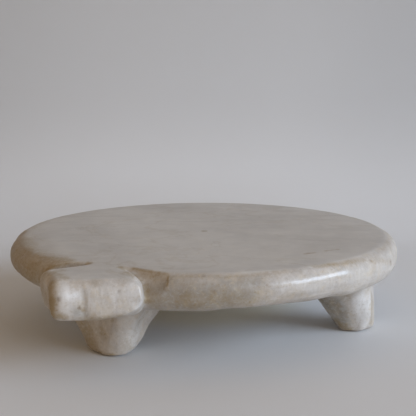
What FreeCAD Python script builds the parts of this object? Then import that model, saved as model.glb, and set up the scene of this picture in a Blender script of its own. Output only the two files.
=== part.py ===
"""Chakla: a round stone board for rolling out dough, on three flared feet, with a lug for a handle.

The lug's tenon and the feet's spigots sit in the slab, each bedded in a thin layer of putty.
Lengths are in millimetres and angles in degrees. Z is up from the surface that the board stands on,
and the lug points along -Y. The origin is under the middle of the board's bounding box.
"""
import FreeCAD, Part
import Sketcher
import math
import os

# Driving sizes: the slab
SIZES = {
    "slab_radius": 120.0,
    "slab_thickness": 21.0,
    "top_round": 9.0,
    "under_round": 11.0,
    # The lug: a square corner that points outwards, on a short neck. A stand is out from the neck's seat.
    "seat_depth": 12.5,
    "left_shoulder_width": 34.0,
    "left_shoulder_stand": 8.5,
    "right_shoulder_width": 42.0,
    "right_shoulder_slant": 30.0,
    "lug_thickness": 22.5,
    "neck_left_width": 11.0,
    "neck_right_width": 17.0,
    "left_ear_width": 24.5,
    "left_ear_stand": 26.0,
    "tip_offset": 1.0,
    "tip_stand": 43.5,
    "right_ear_width": 39.0,
    "right_ear_stand": 12.0,
    "left_ear_round": 8.0,
    "right_ear_round": 6.5,
    "tip_round": 8.0,
    "lug_top_round": 6.0,
    "lug_under_round": 5.0,
    "tenon_width": 14.0,
    "tenon_thickness": 9.0,
    "tenon_length": 13.0,
    # The feet: each tapers to a small base under its outer edge
    "foot_height": 35.5,
    "foot_base_depth": 23.0,
    "foot_base_width": 29.0,
    "foot_root_depth": 43.0,
    "foot_root_width": 62.0,
    "foot_base_corner": 8.0,
    "foot_root_corner": 14.0,
    "sole_bevel": 2.0,
    "foot_lean": 2.0,
    "spigot_radius": 10.0,
    "spigot_length": 9.0,
    # Where each foot stands: its angle about the slab's axis, and how far its outer face is in from the rim
    "front_foot_angle": 261.0,
    "front_foot_inset": 23.5,
    "right_foot_angle": 18.0,
    "right_foot_inset": 13.0,
    "rear_foot_angle": 139.0,
    "rear_foot_inset": 17.0,
    # Fits: the putty's thickness all round, and how far a cut runs past the stone
    "putty_gap": 0.6,
    "overrun": 5.0,
}

# A rounding takes at most this share of the wall that it is on
ROUND_LIMIT_SHARE = 0.46
# Two places are the same when they differ by less than this share of the slab's radius
MATCH_SHARE = 0.00001

doc = FreeCAD.newDocument("chakla")
sheet = doc.addObject("Spreadsheet::Sheet", "dims")
for row, (alias, value) in enumerate(SIZES.items(), start=1):
    sheet.set(f"A{row}", alias)
    sheet.set(f"B{row}", str(value))
    sheet.setAlias(f"B{row}", alias)
doc.recompute()


def sized(expression):
    """The number that an expression on the sheet's sizes comes to."""
    found = sheet.evalExpression(expression)
    return float(getattr(found, "Value", found))


def tip_overhang():
    """How far the lug's rounded tip reaches past the rim."""
    left_across = "(dims.left_ear_width - dims.tip_offset)"
    left_along = "(dims.tip_stand - dims.left_ear_stand)"
    right_across = "(dims.right_ear_width + dims.tip_offset)"
    right_along = "(dims.tip_stand - dims.right_ear_stand)"
    left_side = f"sqrt({left_across} ^ 2 + {left_along} ^ 2)"
    right_side = f"sqrt({right_across} ^ 2 + {right_along} ^ 2)"
    # The rounding's centre is in from the sharp corner by this many of its radii
    rise = f"({left_along} * {right_side} + {right_along} * {left_side})"
    spread = f"({left_across} * {right_along} + {right_across} * {left_along})"
    return f"(dims.tip_stand - dims.seat_depth - dims.tip_round * ({rise} / {spread} - 1))"


def start_body(label, angle=None):
    """An empty body whose own axis is the slab's, turned about it by a named angle."""
    body = doc.addObject("PartDesign::Body", label)
    body.Label = label
    body.setExpression(".Placement.Base.y", f"{tip_overhang()} / 2")
    if angle:
        body.setExpression(".Placement.Rotation.Angle", angle)
    return body


def level_sketch(body, name, height):
    """A sketch that lies level in a body, at the height that an expression gives."""
    sketch = body.newObject("Sketcher::SketchObject", name)
    level = [plane for plane in body.Origin.OriginFeatures if plane.Role == "XY_Plane"][0]
    sketch.AttachmentSupport = [(level, "")]
    sketch.MapMode = "FlatFace"
    if height:
        sketch.setExpression(".AttachmentOffset.Base.z", height)
    return sketch


def upright_sketch(body, name, across):
    """A sketch that stands upright across X in a body, where an expression says."""
    sketch = body.newObject("Sketcher::SketchObject", name)
    upright = [plane for plane in body.Origin.OriginFeatures if plane.Role == "YZ_Plane"][0]
    sketch.AttachmentSupport = [(upright, "")]
    sketch.MapMode = "FlatFace"
    sketch.setExpression(".AttachmentOffset.Base.z", across)
    return sketch


def place_point(sketch, geometry, point, name, across, along):
    """Hold a point of a sketch at two expressions, measured from the slab's axis, or on it for None."""
    for kind, axis, expression in (("DistanceX", -2, across), ("DistanceY", -1, along)):
        if expression is None:
            sketch.addConstraint(Sketcher.Constraint("PointOnObject", geometry, point, axis))
            continue
        rule = Sketcher.Constraint(kind, -1, 1, geometry, point, sized(expression))
        index = sketch.addConstraint(rule)
        sketch.renameConstraint(index, f"{name}_{kind}")
        sketch.setExpression(f"Constraints.{name}_{kind}", expression)


def draw_outline(sketch, corners):
    """A closed outline of straight sides, through corners given as name: (across, along)."""
    names = list(corners)
    points = [FreeCAD.Vector(sized(corners[name][0]), sized(corners[name][1]), 0) for name in names]
    for side, start in enumerate(points):
        sketch.addGeometry(Part.LineSegment(start, points[(side + 1) % len(points)]))
    for side in range(len(points)):
        following = (side + 1) % len(points)
        sketch.addConstraint(Sketcher.Constraint("Coincident", side, 2, following, 1))
    for side, name in enumerate(names):
        place_point(sketch, side, 1, name, *corners[name])


def draw_box(sketch, left, right, front, back):
    """A rectangle between two expressions across and two along."""
    draw_outline(sketch, {
        "front_left": (left, front),
        "front_right": (right, front),
        "back_right": (right, back),
        "back_left": (left, back),
    })


def draw_round_box(sketch, left, right, front, back, corner):
    """A rectangle between two expressions across and two along, with its corners rounded."""
    centres = {
        "front_right": (f"{right} - {corner}", f"{front} + {corner}"),
        "back_right": (f"{right} - {corner}", f"{back} - {corner}"),
        "back_left": (f"{left} + {corner}", f"{back} - {corner}"),
        "front_left": (f"{left} + {corner}", f"{front} + {corner}"),
    }
    radius = sized(corner)
    up = FreeCAD.Vector(0, 0, 1)
    quarter = math.pi / 2
    arcs = []
    for turn, (across, along) in enumerate(centres.values()):
        circle = Part.Circle(FreeCAD.Vector(sized(across), sized(along), 0), up, radius)
        arcs.append(Part.ArcOfCircle(circle, (turn - 1) * quarter, turn * quarter))
    # Each corner's arc is followed by the straight side that leads to the next corner
    for turn, arc in enumerate(arcs):
        sketch.addGeometry(arc)
        sketch.addGeometry(Part.LineSegment(arc.EndPoint, arcs[(turn + 1) % len(arcs)].StartPoint))
    count = 2 * len(arcs)
    for index in range(count):
        sketch.addConstraint(Sketcher.Constraint("Tangent", index, 2, (index + 1) % count, 1))
    for turn, (name, place) in enumerate(centres.items()):
        arc = 2 * turn
        place_point(sketch, arc, 3, name, *place)
        rule = sketch.addConstraint(Sketcher.Constraint("Radius", arc, radius))
        sketch.renameConstraint(rule, f"{name}_radius")
        sketch.setExpression(f"Constraints.{name}_radius", corner)


def draw_circle(sketch, name, radius, across=None, along=None):
    """A circle with its centre and radius held by expressions."""
    centre = FreeCAD.Vector(sized(across) if across else 0, sized(along) if along else 0, 0)
    up = FreeCAD.Vector(0, 0, 1)
    index = sketch.addGeometry(Part.Circle(centre, up, sized(radius)))
    place_point(sketch, index, 3, name, across, along)
    rule = sketch.addConstraint(Sketcher.Constraint("Radius", index, sized(radius)))
    sketch.renameConstraint(rule, f"{name}_radius")
    sketch.setExpression(f"Constraints.{name}_radius", radius)


def pad(body, name, sketch, length):
    """Stone added upwards from a level sketch."""
    feature = body.newObject("PartDesign::Pad", name)
    feature.Profile = sketch
    feature.setExpression("Length", length)
    doc.recompute()
    return feature


def cut(body, name, sketch, length, forwards):
    """Stone cut away from a sketch, forwards or backwards along its own direction."""
    before = body.Shape.Volume
    feature = body.newObject("PartDesign::Pocket", name)
    feature.Profile = sketch
    feature.Reversed = forwards
    feature.setExpression("Length", length)
    doc.recompute()
    if body.Shape.Volume >= before:
        raise RuntimeError(f"{name} cut nothing")
    return feature


def cut_up(body, name, sketch, length):
    """Stone cut away upwards from a level sketch."""
    return cut(body, name, sketch, length, forwards=True)


def round_edges(body, name, radius, wanted):
    """Round those edges of a body's last feature that a test picks out."""
    base = body.Tip
    picked = [f"Edge{n}" for n, edge in enumerate(base.Shape.Edges, start=1) if wanted(edge)]
    if not picked:
        raise RuntimeError(f"{name} found no edge")
    feature = body.newObject("PartDesign::Fillet", name)
    feature.Base = (base, picked)
    feature.setExpression("Radius", radius)
    doc.recompute()
    return feature


def lies_level(edge, height):
    """Whether an edge lies level at a height."""
    slack = sized("dims.slab_radius") * MATCH_SHARE
    box = edge.BoundBox
    return abs(box.ZMin - height) <= slack and abs(box.ZMax - height) <= slack


def limited(rounding, wall):
    """A rounding that its wall can hold."""
    return f"min({rounding}; {wall} * {ROUND_LIMIT_SHARE})"


# Heights and places that more than one piece uses
TOP = "(dims.foot_height + dims.slab_thickness)"
SEAT = "(dims.seat_depth - dims.slab_radius)"
LUG_UNDERSIDE = f"({TOP} - dims.lug_thickness)"
TENON_UNDERSIDE = "(dims.foot_height + (dims.slab_thickness - dims.tenon_thickness) / 2)"
FEET = {
    "front_foot": ("dims.front_foot_angle", "(dims.slab_radius - dims.front_foot_inset)"),
    "right_foot": ("dims.right_foot_angle", "(dims.slab_radius - dims.right_foot_inset)"),
    "rear_foot": ("dims.rear_foot_angle", "(dims.slab_radius - dims.rear_foot_inset)"),
}


def spigot_reach(reach):
    """How far out a foot's spigot is: in the middle of the foot's root."""
    return f"({reach} - dims.foot_lean - dims.foot_root_depth / 2)"


def build_slab():
    """The slab: a bullnosed disc, cut for the lug's neck and shoulder, its tenon and the feet's spigots."""
    body = start_body("rolling_slab")
    rim = level_sketch(body, "slab_rim", "dims.foot_height")
    draw_circle(rim, "rim", "dims.slab_radius")
    pad(body, "slab_blank", rim, "dims.slab_thickness")
    top = sized(TOP)
    under = sized("dims.foot_height")
    over_round = limited("dims.top_round", "dims.slab_thickness")
    under_round = f"min(dims.under_round; dims.slab_thickness * {1 - ROUND_LIMIT_SHARE})"
    round_edges(body, "rim_over", over_round, lambda edge: lies_level(edge, top))
    round_edges(body, "rim_under", under_round, lambda edge: lies_level(edge, under))

    # The seat is flat behind the lug, follows the lug's right side, and slants out of the rim to its left
    past_rim = "(-dims.slab_radius - dims.overrun)"
    flare = "(dims.right_ear_width - dims.neck_right_width) / dims.right_ear_stand"
    seat = level_sketch(body, "lug_seat_plan", "dims.foot_height - dims.overrun")
    draw_outline(seat, {
        "neck_left": ("-dims.neck_left_width", SEAT),
        "left_shoulder": ("-dims.left_shoulder_width", f"{SEAT} - dims.left_shoulder_stand"),
        "rim_left": ("-dims.left_shoulder_width", past_rim),
        "rim_right": (f"dims.neck_right_width + (dims.seat_depth + dims.overrun) * {flare}", past_rim),
        "neck_right": ("dims.neck_right_width", SEAT),
    })
    cut_up(body, "lug_seat", seat, "dims.slab_thickness + 2 * dims.overrun")

    # A slanting flat is scooped out of the rim to the lug's right
    scoop = upright_sketch(body, "right_shoulder_side", "dims.right_shoulder_width")
    over = f"{TOP} + dims.overrun"
    draw_outline(scoop, {
        "top": (SEAT, TOP),
        "foot": (past_rim, f"{TOP} - (dims.seat_depth + dims.overrun) / tan(dims.right_shoulder_slant * 1deg)"),
        "outside": (past_rim, over),
        "above": (SEAT, over),
    })
    width = "dims.right_shoulder_width - dims.neck_right_width"
    cut(body, "right_shoulder", scoop, width, forwards=False)

    mortise = level_sketch(body, "lug_mortise_plan", f"{TENON_UNDERSIDE} - dims.putty_gap")
    half = "(dims.tenon_width / 2 + dims.putty_gap)"
    depth = f"{SEAT} + dims.tenon_length + dims.putty_gap"
    draw_box(mortise, f"-{half}", half, f"{SEAT} - dims.overrun", depth)
    cut_up(body, "lug_mortise", mortise, "dims.tenon_thickness + 2 * dims.putty_gap")

    sockets = level_sketch(body, "foot_sockets_plan", "dims.foot_height")
    for label, (angle, reach) in FEET.items():
        out = spigot_reach(reach)
        place = f"{out} * cos({angle} * 1deg)", f"{out} * sin({angle} * 1deg)"
        draw_circle(sockets, label, "dims.spigot_radius + dims.putty_gap", *place)
    cut_up(body, "foot_sockets", sockets, "dims.spigot_length + dims.putty_gap")
    return body


def build_lug():
    """The lug: a square corner on a flaring neck, with rounded edges and a tenon behind."""
    body = start_body("handle_lug")
    plan = level_sketch(body, "lug_plan", LUG_UNDERSIDE)
    corners = {
        "neck_left": ("-dims.neck_left_width", SEAT),
        "left_ear": ("-dims.left_ear_width", f"{SEAT} - dims.left_ear_stand"),
        "tip": ("-dims.tip_offset", f"{SEAT} - dims.tip_stand"),
        "right_ear": ("dims.right_ear_width", f"{SEAT} - dims.right_ear_stand"),
        "neck_right": ("dims.neck_right_width", SEAT),
    }
    draw_outline(plan, corners)
    pad(body, "lug_blank", plan, "dims.lug_thickness")

    def upright_at(name):
        """A test for the upright edge at a named corner of the plan."""
        x, y = [sized(expression) for expression in corners[name]]
        slack = sized("dims.slab_radius") * MATCH_SHARE

        def wanted(edge):
            box = edge.BoundBox
            upright = max(box.XLength, box.YLength) <= slack
            return upright and abs(box.XMin - x) + abs(box.YMin - y) <= slack
        return wanted

    def all_round(height):
        """A test for the edges round the lug at a height, apart from the one on the slab."""
        seat = sized(SEAT)
        slack = sized("dims.slab_radius") * MATCH_SHARE

        def wanted(edge):
            return lies_level(edge, height) and edge.BoundBox.YMin < seat - slack
        return wanted

    round_edges(body, "left_ear", "dims.left_ear_round", upright_at("left_ear"))
    round_edges(body, "right_ear", "dims.right_ear_round", upright_at("right_ear"))
    round_edges(body, "tip", "dims.tip_round", upright_at("tip"))
    top = sized(TOP)
    under = sized(LUG_UNDERSIDE)
    over_round = limited("dims.lug_top_round", "dims.lug_thickness")
    under_round = limited("dims.lug_under_round", "dims.lug_thickness")
    round_edges(body, "lug_over", over_round, all_round(top))
    round_edges(body, "lug_under", under_round, all_round(under))

    # The tenon starts inside the lug, so that the two are one stone
    tenon = level_sketch(body, "tenon_plan", TENON_UNDERSIDE)
    half = "(dims.tenon_width / 2)"
    draw_box(tenon, f"-{half}", half, f"{SEAT} - dims.overrun", f"{SEAT} + dims.tenon_length")
    pad(body, "tenon", tenon, "dims.tenon_thickness")
    return body


def build_foot(label):
    """A foot: it tapers down to a bevelled sole under its outer face, with a spigot on top."""
    angle, reach = FEET[label]
    body = start_body(label, angle)
    half = "dims.foot_base_width / 2"
    inner = f"{reach} - dims.foot_base_depth"
    corner = limited("dims.foot_base_corner", "min(dims.foot_base_depth; dims.foot_base_width)")
    bevel = "dims.sole_bevel"
    sole = level_sketch(body, f"{label}_sole", "")
    edges = f"{inner} + {bevel}", f"{reach} - {bevel}", f"-{half} + {bevel}", f"{half} - {bevel}"
    draw_round_box(sole, *edges, f"({corner} - {bevel})")
    base = level_sketch(body, f"{label}_base", bevel)
    draw_round_box(base, inner, reach, f"-{half}", half, corner)
    root = level_sketch(body, f"{label}_root", "dims.foot_height")
    half = "dims.foot_root_width / 2"
    outer = f"{reach} - dims.foot_lean"
    inner = f"{outer} - dims.foot_root_depth"
    corner = limited("dims.foot_root_corner", "min(dims.foot_root_depth; dims.foot_root_width)")
    draw_round_box(root, inner, outer, f"-{half}", half, corner)
    taper = body.newObject("PartDesign::AdditiveLoft", f"{label}_taper")
    taper.Profile = sole
    taper.Sections = [base, root]
    taper.Ruled = True
    doc.recompute()

    spigot = level_sketch(body, f"{label}_spigot_plan", "dims.foot_height")
    draw_circle(spigot, "spigot", "dims.spigot_radius", spigot_reach(reach))
    pad(body, f"{label}_spigot", spigot, "dims.spigot_length")
    return body


def build_foot_bedding(label):
    """The cup of putty between a foot's spigot and its socket."""
    angle, reach = FEET[label]
    body = start_body(f"{label}_bedding", angle)
    out = spigot_reach(reach)
    outside = level_sketch(body, f"{label}_socket_plan", "dims.foot_height")
    draw_circle(outside, "socket", "dims.spigot_radius + dims.putty_gap", out)
    pad(body, f"{label}_socket_fill", outside, "dims.spigot_length + dims.putty_gap")
    inside = level_sketch(body, f"{label}_spigot_space", "dims.foot_height")
    draw_circle(inside, "spigot", "dims.spigot_radius", out)
    cut_up(body, f"{label}_spigot_cut", inside, "dims.spigot_length")
    return body


def build_lug_bedding():
    """The sleeve of putty between the lug's tenon and its mortise."""
    body = start_body("handle_bedding")
    outside = level_sketch(body, "mortise_fill_plan", f"{TENON_UNDERSIDE} - dims.putty_gap")
    half = "(dims.tenon_width / 2 + dims.putty_gap)"
    draw_box(outside, f"-{half}", half, SEAT, f"{SEAT} + dims.tenon_length + dims.putty_gap")
    pad(body, "mortise_fill", outside, "dims.tenon_thickness + 2 * dims.putty_gap")
    inside = level_sketch(body, "tenon_space_plan", TENON_UNDERSIDE)
    half = "(dims.tenon_width / 2)"
    draw_box(inside, f"-{half}", half, f"{SEAT} - dims.overrun", f"{SEAT} + dims.tenon_length")
    cut_up(body, "tenon_space", inside, "dims.tenon_thickness")
    return body


pieces = [build_slab(), build_lug(), build_lug_bedding()]
for foot in FEET:
    pieces.append(build_foot(foot))
    pieces.append(build_foot_bedding(foot))
doc.recompute()

for item in doc.Objects:
    if "Invalid" in item.State or "Error" in item.State:
        raise RuntimeError(f"{item.Label} did not build")
os.makedirs("parts", exist_ok=True)
for piece in pieces:
    if piece.Shape.isNull() or not piece.Shape.isValid() or len(piece.Shape.Solids) != 1:
        raise RuntimeError(f"{piece.Label} is not one sound solid")
    piece.Shape.exportStep(f"parts/{piece.Label}.step")
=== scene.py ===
"""Chakla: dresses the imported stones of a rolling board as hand-carved, rubbed and stained marble.

The stones are skinned as one carved block, so that no joint shows, and then cut apart again at their
joints. Laid out as an add-on and run as a script. Lengths are in metres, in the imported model's frame.
"""

import math

import bmesh
import bpy
import numpy as np
from bpy.props import FloatProperty, FloatVectorProperty, IntProperty, PointerProperty
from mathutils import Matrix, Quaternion, Vector
from mathutils.bvhtree import BVHTree


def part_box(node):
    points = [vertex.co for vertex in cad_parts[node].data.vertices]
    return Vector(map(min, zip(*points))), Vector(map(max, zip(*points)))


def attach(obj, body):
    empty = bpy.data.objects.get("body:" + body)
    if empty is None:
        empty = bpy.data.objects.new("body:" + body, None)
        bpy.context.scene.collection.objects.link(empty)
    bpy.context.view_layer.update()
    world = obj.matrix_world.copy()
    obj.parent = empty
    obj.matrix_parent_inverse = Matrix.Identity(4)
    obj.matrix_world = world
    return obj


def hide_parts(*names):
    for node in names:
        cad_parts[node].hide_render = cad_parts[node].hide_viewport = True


bl_info = {
    "name": "Chakla rolling board",
    "version": (1, 0, 0),
    "blender": (4, 5, 0),
    "location": "View3D > Sidebar > Chakla",
    "description": "Carves and finishes the stones of a chakla rolling board",
    "category": "Object",
}

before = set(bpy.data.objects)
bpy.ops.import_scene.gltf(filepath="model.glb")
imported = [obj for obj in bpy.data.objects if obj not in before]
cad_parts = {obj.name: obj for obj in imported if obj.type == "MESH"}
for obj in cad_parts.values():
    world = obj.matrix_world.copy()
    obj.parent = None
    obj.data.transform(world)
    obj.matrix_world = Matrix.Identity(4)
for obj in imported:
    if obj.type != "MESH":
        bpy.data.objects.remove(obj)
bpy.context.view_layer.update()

# The stones' places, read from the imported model
SLAB_LOW, SLAB_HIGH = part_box("rolling_slab")
SLAB_RADIUS = (SLAB_HIGH.x - SLAB_LOW.x) / 2
AXIS = Vector(((SLAB_HIGH.x + SLAB_LOW.x) / 2, SLAB_HIGH.y - SLAB_RADIUS, 0))
TOP = SLAB_HIGH.z
UNDERSIDE = SLAB_LOW.z
FEET = ("front_foot", "right_foot", "rear_foot")
BEDDINGS = ("handle_bedding", "front_foot_bedding", "right_foot_bedding", "rear_foot_bedding")
STONES = ("rolling_slab", "handle_lug") + FEET
MM = 0.001


# ---- settings

class ChaklaStone(bpy.types.PropertyGroup):
    """How the stones are carved and coloured."""

    skin: FloatProperty(
        name="Skin", description="Size of the faces of the carved skin",
        default=0.0011, min=0.0005, max=0.004, unit="LENGTH", precision=5)
    wobble_height: FloatProperty(
        name="Wobble height", description="How unevenly the chisel left the stone",
        default=0.0016, min=0, max=0.01, unit="LENGTH", precision=5)
    wobble_size: FloatProperty(
        name="Wobble size", description="Distance between one hump and the next",
        default=0.032, min=0.001, max=0.2, unit="LENGTH", precision=5)
    tool_depth: FloatProperty(
        name="Tool mark depth", description="Depth of the small flats that rubbing left",
        default=0.00035, min=0, max=0.005, unit="LENGTH", precision=5)
    tool_size: FloatProperty(
        name="Tool mark size", description="Width of the small flats that rubbing left",
        default=0.011, min=0.001, max=0.1, unit="LENGTH", precision=5)
    pit_depth: FloatProperty(
        name="Pit depth", description="Depth of the pits in the stone",
        default=0.0006, min=0, max=0.005, unit="LENGTH", precision=5)
    pit_spacing: FloatProperty(
        name="Pit spacing", description="Distance between one pit and the next",
        default=0.022, min=0.002, max=0.2, unit="LENGTH", precision=5)
    seed: IntProperty(name="Seed", description="Another pattern of wobble and pits", default=4, min=0)
    cream: FloatVectorProperty(
        name="Cream", description="Pale clouds in the stone",
        default=(0.60, 0.56, 0.51), size=3, min=0, max=1, subtype="COLOR")
    grey: FloatVectorProperty(
        name="Grey", description="Darker clouds in the stone",
        default=(0.445, 0.41, 0.375), size=3, min=0, max=1, subtype="COLOR")
    ochre: FloatVectorProperty(
        name="Ochre", description="Warm specks in the stone",
        default=(0.56, 0.472, 0.35), size=3, min=0, max=1, subtype="COLOR")
    ash: FloatVectorProperty(
        name="Ash", description="Cool specks in the stone",
        default=(0.50, 0.495, 0.485), size=3, min=0, max=1, subtype="COLOR")
    # Stain and shade: the colour of old oil and flour, also used for painted shade on the rim's left and
    # beside the lug
    stain: FloatVectorProperty(
        name="Stain and shade", description="Old oil and flour in hollows and along edges",
        default=(0.275, 0.187, 0.07), size=3, min=0, max=1, subtype="COLOR")
    # Bare and lit: the colour of stone rubbed bare, and of light painted on as paler patches
    clean: FloatVectorProperty(
        name="Bare and lit", description="Stone that is rubbed bare",
        default=(0.745, 0.73, 0.712), size=3, min=0, max=1, subtype="COLOR")
    # Painted shade: the darker colour laid where the stone is made to look shaded
    painted_shade_colour: FloatVectorProperty(
        name="Painted shade", description="Stone that dust has dulled",
        default=(0.248, 0.227, 0.193), size=3, min=0, max=1, subtype="COLOR")
    pit_colour: FloatVectorProperty(
        name="Pit colour", description="Dirt in the pits",
        default=(0.16, 0.10, 0.05), size=3, min=0, max=1, subtype="COLOR")
    # Painted light on the rolling face: a factor that makes the top paler and cooler, as the light from above
    # falls on it
    face_painted_light: FloatVectorProperty(
        name="Face painted light", description="How flour has paled the rolling face, as a factor on its colour",
        default=(1.02, 1.06, 1.10), size=3, min=0, max=2, subtype="COLOR")
    putty: FloatVectorProperty(
        name="Putty", description="Lime putty in the joints",
        default=(0.58, 0.53, 0.45), size=3, min=0, max=1, subtype="COLOR")


class ChaklaStage(bpy.types.PropertyGroup):
    """The floor, the lamps and the camera."""

    floor: FloatVectorProperty(
        name="Floor", description="Colour of the floor and backdrop",
        default=(0.75, 0.762, 0.778), size=3, min=0, max=1, subtype="COLOR")
    # Painted bounce light: a warm tint on the floor below the board
    floor_painted_bounce: FloatVectorProperty(
        name="Painted bounce", description="How the stone tints the floor below it, as a factor on its colour",
        default=(1.13, 1.07, 0.90), size=3, min=0, max=2, subtype="COLOR")
    window_power: FloatProperty(
        name="Window power", description="Power of the soft lamp on the right",
        default=122.0, min=0, max=1000, unit="POWER")
    front_power: FloatProperty(
        name="Front power", description="Power of the soft lamp in front",
        default=9.5, min=0, max=1000, unit="POWER")
    window_tint: FloatVectorProperty(
        name="Window tint", description="Colour of the soft lamps",
        default=(0.665, 0.81, 1.0), size=3, min=0, max=1, subtype="COLOR")
    fill: FloatVectorProperty(
        name="Fill", description="Even light from the sides",
        default=(0.71, 0.49, 0.255), size=3, min=0, max=2, subtype="COLOR")
    fill_above: FloatVectorProperty(
        name="Fill above", description="Even light from above",
        default=(0.345, 0.28, 0.222), size=3, min=0, max=2, subtype="COLOR")
    fill_left: FloatVectorProperty(
        name="Fill on the left", description="Even light from the camera's left",
        default=(0.315, 0.185, 0.05), size=3, min=0, max=2, subtype="COLOR")
    lens: FloatProperty(
        name="Lens", description="Focal length of the camera",
        default=86.54, min=10, max=300, unit="CAMERA")
    azimuth: FloatProperty(
        name="Azimuth", description="Direction that the camera looks from, round the slab",
        default=math.radians(30), subtype="ANGLE")
    elevation: FloatProperty(
        name="Elevation", description="Height of the camera above the rolling face, as an angle",
        default=0.1885, subtype="ANGLE")
    distance: FloatProperty(
        name="Distance", description="From the middle of the rolling face to the camera",
        default=0.6276, min=0.1, max=5, unit="LENGTH", precision=4)


# ---- nodes

def sums(operation):
    """The two ways round in which a sum is written on a wire."""
    return (lambda self, other: self.math(operation, self, other),
            lambda self, other: self.math(operation, other, self))


class Wire:
    """An output of a node. Sums written on it add Math nodes, and node() adds any other node."""

    def __init__(self, tree, socket=None):
        self.tree = tree
        self.socket = socket

    __add__, __radd__ = sums("ADD")
    __sub__, __rsub__ = sums("SUBTRACT")
    __mul__, __rmul__ = sums("MULTIPLY")
    __truediv__, __rtruediv__ = sums("DIVIDE")

    def node(self, kind, settings=None, sockets=None, output=0):
        """Add a node of a type, with its settings and then its sockets' values or links."""
        made = self.tree.nodes.new(kind)
        for name, value in (settings or {}).items():
            setattr(made, name, value)
        for name, value in (sockets or {}).items():
            if isinstance(value, Wire):
                value.into(made, name)
            else:
                made.inputs[name].default_value = value
        return Wire(self.tree, made.outputs[output] if made.outputs else None)

    def into(self, node, name):
        """Link this output to an input of a node."""
        self.tree.links.new(self.socket, node.inputs[name])

    def other(self, output):
        """Another output of the same node."""
        return Wire(self.tree, self.socket.node.outputs[output])

    def math(self, operation, first, second):
        return self.node("ShaderNodeMath", {"operation": operation}, {0: first, 1: second})

    def __abs__(self):
        return self.node("ShaderNodeMath", {"operation": "ABSOLUTE"}, {0: self})

    def least(self, other):
        return self.math("MINIMUM", self, other)

    def most(self, other):
        return self.math("MAXIMUM", self, other)

    def ramp(self, low, high):
        """A smooth step from 0 to 1 as this value goes from low to high."""
        sockets = {"Value": self, "From Min": low, "From Max": high}
        return self.node("ShaderNodeMapRange", {"interpolation_type": "SMOOTHSTEP"}, sockets)

    def blend(self, *colours, kind="MIX"):
        """A colour between two, or the first multiplied by the second, by this value."""
        first, second = (c if isinstance(c, Wire) else (*c, 1.0) for c in colours)
        settings = {"data_type": "RGBA", "blend_type": kind}
        return self.node("ShaderNodeMix", settings, {0: self, 6: first, 7: second}, 2)

    def noise(self, place, size, detail=2.0, roughness=0.5, distortion=0.0, seed=0.0):
        """Soft noise whose features are about a size apart."""
        sockets = {"Vector": place, "W": seed, "Scale": 1 / size, "Detail": detail,
                   "Roughness": roughness, "Distortion": distortion}
        return self.node("ShaderNodeTexNoise", {"noise_dimensions": "4D"}, sockets)

    def stretched(self, turn, scale):
        """This place turned about Z and scaled, for a pattern that runs one way."""
        sockets = {"Vector": self, "Rotation": (0, 0, turn), "Scale": scale}
        return self.node("ShaderNodeMapping", {"vector_type": "TEXTURE"}, sockets)


def darker(paint, share):
    return [c * share for c in paint]


def from_axis(place):
    """How far a place is from the slab's axis along X and Y, and its height."""
    parts = place.node("ShaderNodeSeparateXYZ", sockets={"Vector": place})
    return parts - AXIS.x, parts.other("Y") - AXIS.y, parts.other("Z")


def level_length(east, north):
    """The length of a level step."""
    return east.math("POWER", east * east + north * north, 0.5)


# ---- materials

# Patterns in the stone: the size of their features in metres, detail, roughness, distortion and seed
CLOUD = (0.060, 4.0, 0.55, 0.5, 0.0)
MOTTLE = (0.009, 5.0, 0.62, 0.3, 3.0)
FLECK = (0.0014, 3.0, 0.7, 0.4, 5.0)
SMEAR = (0.022, 6.0, 0.6, 1.2, 17.0)
SPECK = (0.0046, 4.0, 0.62, 0.6, 19.0)
VEIN = (0.075, 6.0, 0.55, 1.1, 11.0)
STREAK = (0.010, 4.0, 0.6, 0.4, 7.0)
RUB_MARK = (0.0024, 4.0, 0.65, 0.2, 9.0)
RIM_LINE = (0.0016, 3.0, 0.6, 0.1, 13.0)
# In the putty, and in the sheet that the board stands on
SAND = (0.0009, 3.0, 0.65)
SMUDGE = (0.007, 3.0, 0.5, 0.2, 2.0)
SHEET_CLOUD = (0.4, 2.0)

# How the streaks and the rub marks run: a turn about Z, and how they are stretched
STREAK_RUN = (math.radians(30), (7.0, 1.0, 1.0))
RUB_RUN = (0.0, (1.0, 1.0, 4.0))
# Where the rim's lines show, outwards and upwards, and where they are strongest
RIM_OUT, RIM_UP = (SLAB_RADIUS + 3 * MM, SLAB_RADIUS + 0.5 * MM), (30 * MM, 36 * MM)
RIM_LOW = (47 * MM, 41 * MM)


def new_material(name):
    """An empty material, its tree and its surface shader."""
    material = bpy.data.materials.new(name)
    material.use_nodes = True
    tree = material.node_tree
    tree.nodes.clear()
    shader = tree.nodes.new("ShaderNodeBsdfPrincipled")
    out = tree.nodes.new("ShaderNodeOutputMaterial")
    tree.links.new(shader.outputs[0], out.inputs["Surface"])
    return material, Wire(tree), shader


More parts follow.
